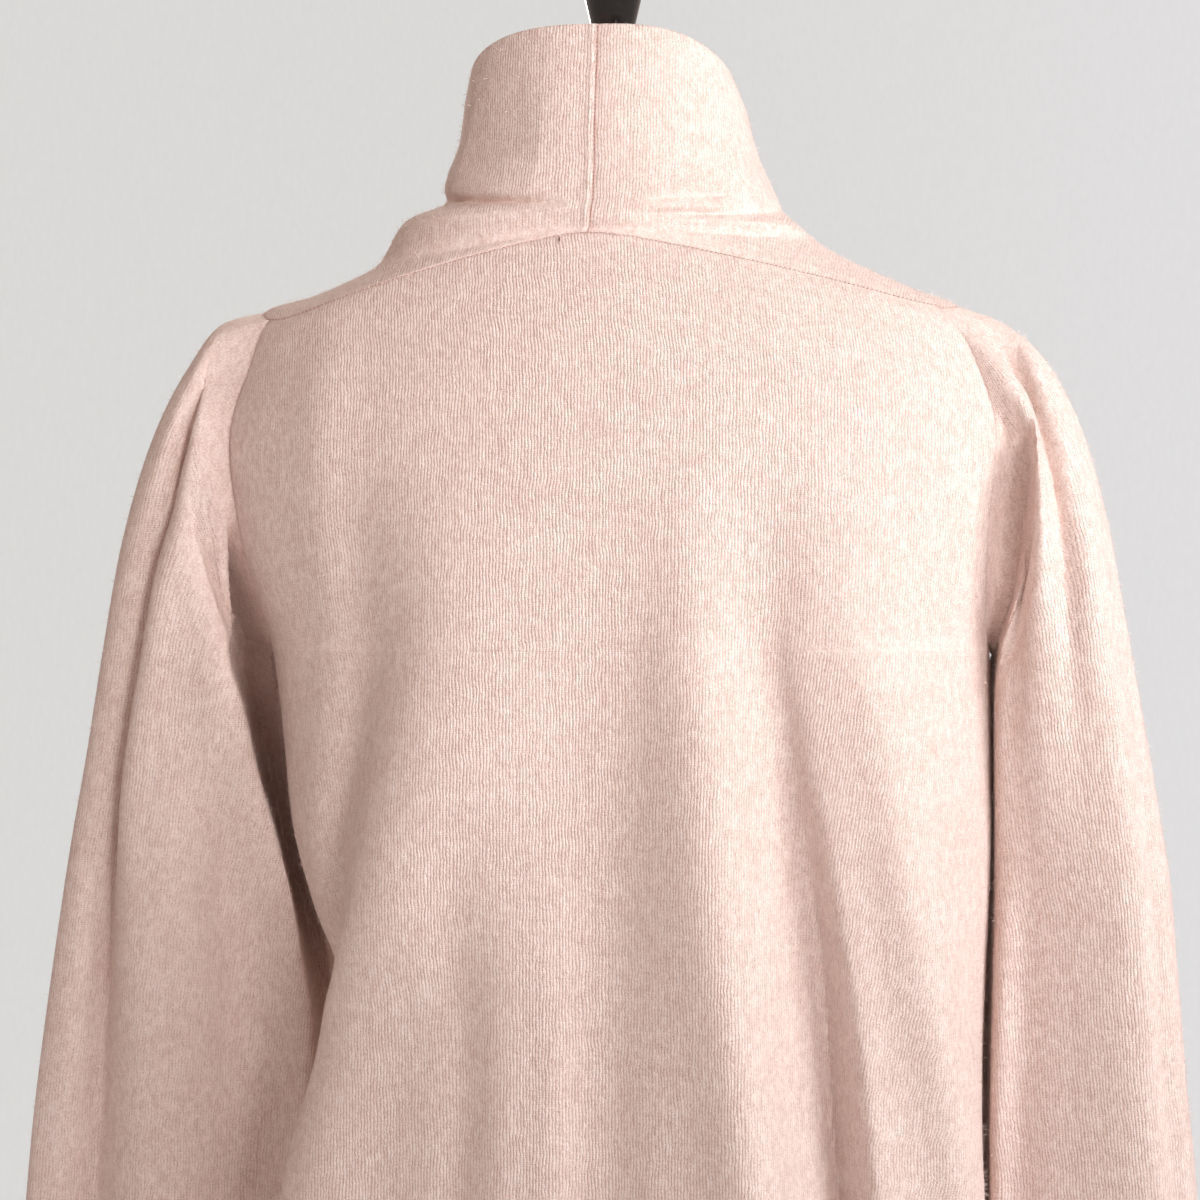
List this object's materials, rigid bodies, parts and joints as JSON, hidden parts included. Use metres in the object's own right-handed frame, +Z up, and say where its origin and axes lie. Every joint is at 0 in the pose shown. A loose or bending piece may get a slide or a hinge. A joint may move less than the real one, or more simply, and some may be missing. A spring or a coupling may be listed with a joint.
{
  "type": "turtleneck sweater on a dress form",
  "caption": "Loose turtleneck sweater with a grown-on funnel collar and straight set-in sleeves, hanging in soft folds on a limbless dress form with a turned finial, a pole and a round base.",
  "frame": {"origin": "middle of the round base's flat underside, on the floor", "axes": "+Z up; the sweater faces -Y, so the pictured back faces +Y; +X towards the wearer's left"},
  "size_m": [0.6751, 0.34, 1.6041],
  "materials": {
    "blush_knit": "brushed fine-gauge knit with a soft nap",
    "form_canvas": "plain ecru canvas",
    "black_lacquer": "glossy black lacquer",
    "black_enamel": "black enamel"
  },
  "bodies": {
    "root": {"back_panel": "blush_knit", "front_panel": "blush_knit", "sleeve_left": "blush_knit", "sleeve_right": "blush_knit", "form_torso": "form_canvas", "form_neck_cap": "black_lacquer", "form_finial": "black_lacquer", "stand_pole": "black_enamel", "stand_base": "black_enamel"}
  },
  "joints": []
}
